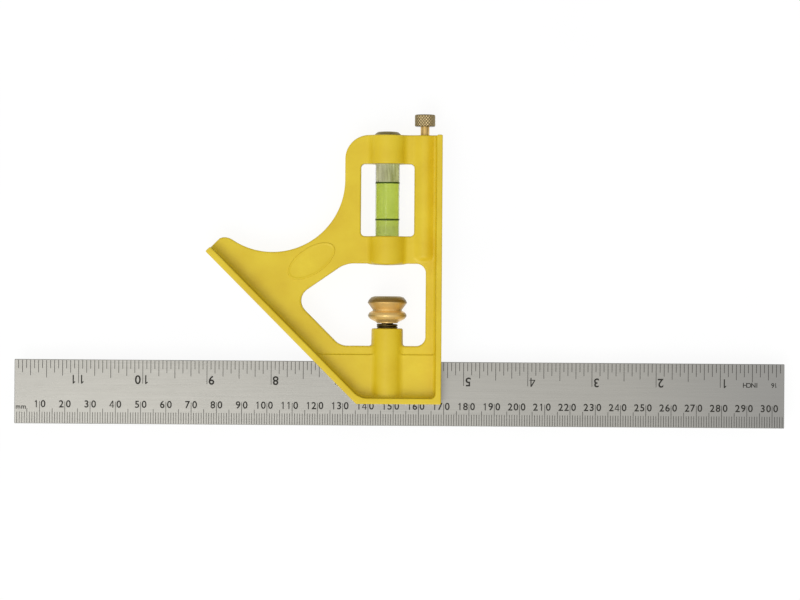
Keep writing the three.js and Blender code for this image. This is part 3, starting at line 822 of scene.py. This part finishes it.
class Finish:
    """A procedural material: one Principled shader, and short ways to make what varies over it."""

    def __init__(self, name, colour, metallic=0.0, roughness=0.4):
        self.material = bpy.data.materials.new(name)
        self.material.use_nodes = True
        self.tree = self.material.node_tree
        self.shader = self.tree.nodes["Principled BSDF"]
        coordinates = self.tree.nodes.new("ShaderNodeTexCoord").outputs
        self.place, self.facing = coordinates["Object"], coordinates["Normal"]
        self.set("Base Color", (*colour, 1))
        self.set("Metallic", metallic)
        self.set("Roughness", roughness)

    def set(self, name, value):
        self.shader.inputs[name].default_value = value

    def link(self, value, name):
        self.tree.links.new(value, self.shader.inputs[name])

    def node(self, kind, inputs, output=0, **settings):
        made = self.tree.nodes.new(kind)
        for key, value in settings.items():
            setattr(made, key, value)
        for key, value in inputs.items():
            if isinstance(value, bpy.types.NodeSocket):
                self.tree.links.new(value, made.inputs[key])
            else:
                made.inputs[key].default_value = value
        return made.outputs[output]

    def stretched(self, x, y, z):
        """Object coordinates in millimetres, scaled along each axis."""
        factors = (x / MM, y / MM, z / MM)
        return self.node("ShaderNodeMapping", {"Vector": self.place, "Scale": factors})

    def noise(self, size, stretch=(1, 1, 1), detail=2.0, roughness=0.5):
        """Noise from 0 to 1 whose features are about size millimetres, longer where stretch is more."""
        place = self.stretched(*(1 / (size * s) for s in stretch))
        inputs = {"Vector": place, "Scale": 1.0, "Detail": detail, "Roughness": roughness}
        return self.node("ShaderNodeTexNoise", inputs)

    def spread(self, value, low, high, from_low=0.3, from_high=0.7):
        """Low where value is from_low, high where it is from_high, and even between them."""
        inputs = {"Value": value, "From Min": from_low, "From Max": from_high, "To Min": low, "To Max": high}
        return self.node("ShaderNodeMapRange", inputs)

    def mixed(self, amount, first, second):
        """The first colour where amount is 0 and the second where it is 1."""
        made = self.tree.nodes.new("ShaderNodeMix")
        made.data_type = "RGBA"
        for key, value in (("Factor_Float", amount), ("A_Color", first), ("B_Color", second)):
            socket = next(s for s in made.inputs if s.identifier == key)
            if isinstance(value, bpy.types.NodeSocket):
                self.tree.links.new(value, socket)
            else:
                socket.default_value = value if isinstance(value, float) else (*value, 1)
        return next(s for s in made.outputs if s.identifier == "Result_Color")

    def paint(self, colour):
        self.link(colour, "Base Color")

    def rough(self, value, low, high):
        self.link(self.spread(value, low, high), "Roughness")

    def relief(self, height, depth, under=None):
        """A bump whose full height is depth millimetres, on top of the bump under it."""
        inputs = {"Height": height, "Strength": 1.0, "Distance": depth * MM}
        if under is not None:
            inputs["Normal"] = under
        bump = self.node("ShaderNodeBump", inputs)
        self.link(bump, "Normal")
        return bump

    def turned(self, axis):
        """How far a surface is turned towards an axis, from -1 to 1."""
        return self.node("ShaderNodeSeparateXYZ", {"Vector": self.facing}, output=axis)

    def absolute(self, value):
        return self.node("ShaderNodeMath", {0: value}, operation="ABSOLUTE")

    def dark_sides(self, colour, dark):
        """A round piece's colour with painted shade where it is turned to +x or -x, darkening its outline."""
        sides = self.spread(self.absolute(self.turned("X")), 0, 0.85, 0.5, 0.95)
        return self.mixed(sides, colour, dark)

    def along(self, axis):
        """The x, y or z of a point, in millimetres."""
        return self.node("ShaderNodeSeparateXYZ", {"Vector": self.stretched(1, 1, 1)}, output=axis)


def enamel_finish():
    """Yellow enamel with a faint orange peel, and painted shade on sloping and upright sides that aren't
    turned to -x.
    """
    base, deep, pale = (0.79, 0.58, 0.018), (0.73, 0.51, 0.013), (0.83, 0.63, 0.027)
    look = Finish("satin_enamel", base, roughness=0.42)
    patches = look.mixed(look.spread(look.noise(14, detail=3), 0, 1), deep, pale)
    fine = look.spread(look.noise(0.9, detail=3), 0, 1)
    paint = look.mixed(0.35, patches, look.mixed(fine, base, patches))
    # Painted shade: sloping and upright sides, but not those turned to -x, are darkened towards olive, which
    # darkens outlines and fillets.
    painted_slope_shade = look.spread(look.absolute(look.turned("Z")), 0.6, 0, 0.15, 0.55)
    away_from_light = look.spread(look.turned("X"), 0, 1, -0.9, -0.4)
    painted_slope_shade = look.node("ShaderNodeMath", {0: painted_slope_shade, 1: away_from_light}, operation="MULTIPLY")
    look.paint(look.mixed(painted_slope_shade, paint, (0.3, 0.24, 0.02)))
    look.rough(look.noise(5), 0.36, 0.48)
    peel = look.relief(look.noise(1.5, detail=1), 0.035)
    look.relief(look.noise(0.35), 0.006, peel)
    look.set("Specular IOR Level", 0.4)
    return look.material


def machined_finish():
    look = Finish("machined_face", (0.56, 0.55, 0.53), metallic=1.0, roughness=0.34)
    lines = look.noise(0.16, (1, 1, 60), detail=3)
    tint = look.mixed(look.spread(lines, 0, 1), (0.44, 0.43, 0.41), (0.64, 0.63, 0.61))
    look.paint(look.mixed(look.spread(look.noise(9), 0, 0.5), tint, (0.5, 0.47, 0.42)))
    look.rough(lines, 0.28, 0.42)
    look.relief(lines, 0.012)
    return look.material


def rule_finish():
    """Brushed stainless steel, with painted shade: darker towards the right end, most at its far end, and a
    little at the left end, for a dimmer reflection there.
    """
    look = Finish("brushed_stainless", (0.41, 0.4, 0.37), metallic=1.0, roughness=0.3)
    grain = look.noise(0.12, (220, 1, 1), detail=4, roughness=0.6)
    streaks = look.noise(0.8, (45, 1, 1), detail=2)
    steel = look.mixed(look.spread(grain, 0, 1), (0.38, 0.37, 0.335), (0.455, 0.443, 0.405))
    steel = look.mixed(look.spread(streaks, 0, 0.5), steel, (0.415, 0.4, 0.36))
    steel = look.mixed(look.spread(look.noise(11, detail=2), 0, 0.35), steel, (0.38, 0.37, 0.335))
    # Painted shade: the steel darkens towards both ends, most towards the right, in place of a dimmer
    # reflection.
    place = look.along("X")
    right = look.spread(place, 0, 1, -110, 150)
    left = look.spread(place, 0, 0.35, -110, -150)
    painted_end_shade = look.node("ShaderNodeMath", {0: right, 1: left}, operation="MAXIMUM")
    steel = look.mixed(painted_end_shade, steel, (0.37, 0.36, 0.33))
    look.paint(look.mixed(look.spread(place, 0, 0.75, 90, 150), steel, (0.3, 0.296, 0.284)))
    look.rough(grain, 0.26, 0.36)
    look.relief(grain, 0.004)
    return look.material


def edge_finish():
    look = Finish("ground_steel_edge", (0.2, 0.2, 0.19), metallic=1.0, roughness=0.4)
    grain = look.noise(0.1, (150, 1, 1), detail=3)
    look.paint(look.mixed(look.spread(grain, 0, 1), (0.14, 0.14, 0.13), (0.3, 0.3, 0.28)))
    look.relief(grain, 0.004)
    return look.material


def ink_finish(name, colour):
    """Dull ink, paler where it is worn."""
    look = Finish(name, colour, roughness=0.55)
    look.set("Specular IOR Level", 0.2)
    wear = look.spread(look.noise(0.7, detail=3), 0, 1, 0.45, 0.75)
    look.paint(look.mixed(wear, colour, tuple(0.02 + c for c in colour)))
    return look.material


def brass_finish(name, bright, worn, roughness, size):
    """Turned brass: fine rings from the tool about the upright axis, and stains of a given size."""
    look = Finish(name, bright, metallic=0.85, roughness=roughness)
    rings = look.noise(0.12, (8, 1, 8), detail=2)
    stain = look.spread(look.noise(size, detail=3), 0, 0.6, 0.42, 0.75)
    cut = look.mixed(look.spread(rings, 0, 0.25), bright, worn)
    look.paint(look.mixed(stain, cut, worn))
    look.rough(look.noise(size / 2), roughness - 0.04, roughness + 0.07)
    look.relief(rings, 0.003)
    return look.material


def knob_finish(bottom):
    """Satin brass with painted light and shade: paler up to the neck, brown painted shade over the upper rim,
    olive painted shade on the crown, and painted shade on its sides.
    """
    bright, worn = (0.84, 0.54, 0.17), (0.66, 0.4, 0.1)
    look = Finish("knob_brass", bright, metallic=0.5, roughness=0.36)
    rings = look.noise(0.12, (8, 1, 8), detail=2)
    cut = look.mixed(look.spread(rings, 0, 0.4), bright, worn)
    stain = look.spread(look.noise(2.6, detail=3), 0, 0.5, 0.42, 0.75)
    cut = look.mixed(stain, cut, worn)
    height = look.along("Y")
    base = bottom + ORIGIN.y
    # Painted light and shade by height: a pale painted highlight up to the neck, then painted shade over the
    # upper rim and the crown.
    neck = ((0.98, 0.7, 0.27), 0.55, 0, 5.3, 5.9)
    rim = ((0.2, 0.11, 0.012), 0, 0.85, 8.1, 8.5)
    crown = ((0.36, 0.29, 0.13), 0, 0.8, 9.2, 9.9)
    for colour, below, above, start, end in (neck, rim, crown):
        band = look.spread(height, below, above, base + start, base + end)
        cut = look.mixed(band, cut, colour)
    look.paint(look.dark_sides(cut, (0.13, 0.1, 0.025)))
    look.rough(look.noise(1.3), 0.3, 0.42)
    look.relief(rings, 0.003)
    return look.material


def knurled_finish(x):
    """Tan brass of the grip turned about the upright axis at x, with painted shade in the knurl's grooves and
    on its sides.
    """
    look = Finish("knurled_brass", (0.5, 0.38, 0.2), metallic=0.75, roughness=0.3)
    axis = (-(x + ORIGIN.x), 0, -ORIGIN.z)
    across = look.node(
        "ShaderNodeMapping", {"Vector": look.place, "Location": axis, "Scale": (1 / MM, 0, 1 / MM)}
    )
    reach = look.node("ShaderNodeVectorMath", {0: across}, output="Value", operation="LENGTH")
    tan = look.mixed(look.spread(look.noise(0.9, detail=3), 0, 1), (0.68, 0.52, 0.27), (0.55, 0.41, 0.19))
    # Painted shade: the deepest part of each knurl groove is painted near black.
    ridge_tops = look.spread(reach, 0, 1, 3.85, 3.95)
    knurl = look.mixed(ridge_tops, (0.07, 0.05, 0.018), tan)
    look.paint(look.dark_sides(knurl, (0.1, 0.085, 0.03)))
    look.rough(look.noise(0.4), 0.22, 0.34)
    look.relief(look.noise(0.15), 0.006)
    return look.material


def steel_finish(name, colour, roughness, grain_size):
    """Turned steel, whose grain runs round the upright axis."""
    look = Finish(name, colour, metallic=1.0, roughness=roughness)
    dark = tuple(0.7 * c for c in colour)
    grain = look.noise(grain_size, (3, 1, 3), detail=3)
    look.paint(look.mixed(look.spread(grain, 0, 1), dark, colour))
    look.rough(look.noise(1.2), roughness - 0.06, roughness + 0.08)
    look.relief(grain, 0.005)
    return look.material


def clear_finish():
    """Clear acrylic, with a wet olive film on its wall above the liquid; painted light and shade make the
    film greyer on the -x side of the tube and more olive on the +x side.
    """
    look = Finish("clear_acrylic", (0.9, 0.94, 0.72), roughness=0.03)
    look.set("Transmission Weight", 1.0)
    look.set("IOR", 1.3)
    haze = look.noise(1.6, (1, 4, 1), detail=2)
    look.rough(haze, 0.01, 0.07)
    clear = look.mixed(look.spread(haze, 0, 1), (0.88, 0.93, 0.68), (0.82, 0.88, 0.58))
    runs = look.noise(0.7, (1, 12, 1), detail=3)
    middle = VIAL_X + ORIGIN.x
    # Painted light and shade across the tube: the film goes from grey on the -x side to olive on the +x side.
    across = look.spread(look.along("X"), 0, 1, middle - 3, middle + 3.5)
    film_with_painted_side_light = look.mixed(across, (0.52, 0.51, 0.38), (0.44, 0.47, 0.19))
    film = look.mixed(look.spread(runs, 0, 0.85), film_with_painted_side_light, (0.86, 0.87, 0.7))
    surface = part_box("vial_fluid")[1].y / MM
    wet = look.spread(look.along("Y"), 0, 1, surface - 0.3, surface + 0.1)
    look.paint(look.mixed(wet, clear, film))
    return look.material


def fluid_finish():
    """Yellow-green liquid with fine upright threads, duller below the lower ring."""
    look = Finish("level_fluid", (0.68, 0.72, 0.2), roughness=0.05)
    look.set("Transmission Weight", 1.0)
    look.set("IOR", 1.15)
    depth = look.noise(3.5, (1, 3, 1), detail=2)
    tint = look.mixed(look.spread(depth, 0, 1), (0.63, 0.69, 0.17), (0.7, 0.75, 0.23))
    threads = look.spread(look.noise(0.8, (1, 40, 1), detail=2), 0, 0.6, 0.5, 0.8)
    tint = look.mixed(threads, tint, (0.5, 0.56, 0.22))
    line = tool_box("vial_line_lower")[0].y + ORIGIN.y
    # Darker and duller towards the bottom, below the lower ring.
    duller_below_ring = look.spread(look.along("Y"), 0.75, 0, line - 3.5, line + 0.5)
    look.paint(look.mixed(duller_below_ring, tint, (0.5, 0.52, 0.24)))
    look.rough(depth, 0.03, 0.1)
    return look.material


def rubber_finish():
    look = Finish("moulded_rubber", (0.03, 0.03, 0.03), roughness=0.8)
    dust = look.spread(look.noise(0.6, detail=3), 0, 1)
    look.paint(look.mixed(dust, (0.02, 0.02, 0.02), (0.045, 0.044, 0.042)))
    look.relief(look.noise(0.2), 0.01)
    return look.material


def nylon_finish():
    look = Finish("moulded_nylon", (0.7, 0.68, 0.58), roughness=0.5)
    shade = look.spread(look.noise(2.5, detail=2), 0, 1)
    look.paint(look.mixed(shade, (0.62, 0.6, 0.5), (0.74, 0.72, 0.63)))
    look.relief(look.noise(0.5), 0.008)
    return look.material


# ---- The tool ----

enamel = enamel_finish()
head_casting(enamel, machined_finish())
badge(enamel)
rule_blade(rule_finish(), edge_finish())
rule_markings(ink_finish("etched_black", (0.026, 0.024, 0.019)))
lock_bolt(steel_finish("bolt_steel", (0.22, 0.21, 0.2), 0.42, 0.3))
lock_spring(steel_finish("spring_steel", (0.15, 0.115, 0.045), 0.42, 0.2))
lock_knob(knob_finish(tool_box("lock_knob")[0].y))
looks = {
    "vial_ink": ink_finish("printed_line", (0.04, 0.08, 0.002)),
    "clear": clear_finish(),
    "fluid": fluid_finish(),
    "nylon": nylon_finish(),
    "rubber": rubber_finish(),
    "bright_brass": brass_finish("bright_brass", (0.78, 0.53, 0.19), (0.56, 0.35, 0.1), 0.33, 2.6),
    "dull_brass": brass_finish("tarnished_brass", (0.22, 0.185, 0.07), (0.13, 0.1, 0.035), 0.36, 1.6),
    "knurled": knurled_finish(SCRIBER_X),
    "needle": steel_finish("needle_steel", (0.62, 0.62, 0.62), 0.25, 0.15),
}
spirit_level(looks)
scriber(looks)

# ---- Floor, light and camera ----

SKY_AXIS = (-0.15, -0.2, 0.97)
SKY_BRIGHT, SKY_DIM = 0.86, 0.3
LAMP_PLACE, LAMP_SIZE, LAMP_WATTS = (-0.4, -0.82, 1.8), 1.0, 11.5
FLOOR_HALF, FLOOR_DEPTH, FLOOR_GLOW = 4.0, -0.0002, 0.9
SENSOR_WIDTH, FOCAL_LENGTH = 36.0, 136.3
EYE_Y, EYE_HEIGHT, EYE_TURN = -0.0118, 1.2, math.radians(0.4)


def floor():
    """A softly glowing table, as for product pictures, so that little shade falls on it."""
    signs = ((-1, -1), (1, -1), (1, 1), (-1, 1))
    corners = [(a * FLOOR_HALF, b * FLOOR_HALF, FLOOR_DEPTH) for a, b in signs]
    plane = mesh_object("floor", corners, [(0, 1, 2, 3)], [floor_finish()])


def floor_finish():
    look = Finish("pale_floor", (0.12, 0.12, 0.12), roughness=0.9)
    soft = look.spread(look.noise(60, detail=2), 0, 1)
    look.paint(look.mixed(soft, (0.11, 0.11, 0.11), (0.13, 0.13, 0.13)))
    look.set("Specular IOR Level", 0.1)
    look.set("Emission Color", (1, 1, 1, 1))
    look.set("Emission Strength", FLOOR_GLOW)
    return look.material


def studio():
    """A soft sky, brightest high up on the side of -x and -y, and one large lamp on that side."""
    world = bpy.data.worlds.new("studio")
    world.use_nodes = True
    nodes, links = world.node_tree.nodes, world.node_tree.links
    towards = nodes.new("ShaderNodeVectorMath")
    towards.operation = "DOT_PRODUCT"
    towards.inputs[1].default_value = SKY_AXIS
    links.new(nodes.new("ShaderNodeTexCoord").outputs["Generated"], towards.inputs[0])
    fade = nodes.new("ShaderNodeMapRange")
    fade.interpolation_type = "SMOOTHSTEP"
    ends = {"From Min": 0.1, "From Max": 0.95, "To Min": SKY_DIM, "To Max": SKY_BRIGHT}
    for key, value in ends.items():
        fade.inputs[key].default_value = value
    links.new(towards.outputs["Value"], fade.inputs["Value"])
    links.new(fade.outputs["Result"], nodes["Background"].inputs["Strength"])
    nodes["Background"].inputs["Color"].default_value = (1, 1, 1, 1)
    bpy.context.scene.world = world

    lamp = bpy.data.lights.new("softbox", "AREA")
    lamp.shape, lamp.size, lamp.size_y = "RECTANGLE", LAMP_SIZE, LAMP_SIZE
    lamp.energy = LAMP_WATTS
    box = bpy.data.objects.new("softbox", lamp)
    box.location = LAMP_PLACE
    box.rotation_euler = (-box.location).to_track_quat("-Z", "Y").to_euler()
    bpy.context.scene.collection.objects.link(box)


def camera():
    """Straight above the tool, and turned a little, as the tool lies a little askew in view."""
    eye = bpy.data.cameras.new("camera")
    eye.sensor_width, eye.lens, eye.clip_end = SENSOR_WIDTH, FOCAL_LENGTH, 20.0
    stand = bpy.data.objects.new("camera", eye)
    middle = (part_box("rule")[0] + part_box("rule")[1]) / 2
    stand.location = (middle.x, EYE_Y, middle.z + EYE_HEIGHT)
    stand.rotation_euler = (0, 0, EYE_TURN)
    bpy.context.scene.collection.objects.link(stand)
    bpy.context.scene.camera = stand


floor()
studio()
camera()
bpy.context.scene.view_settings.view_transform = "Standard"
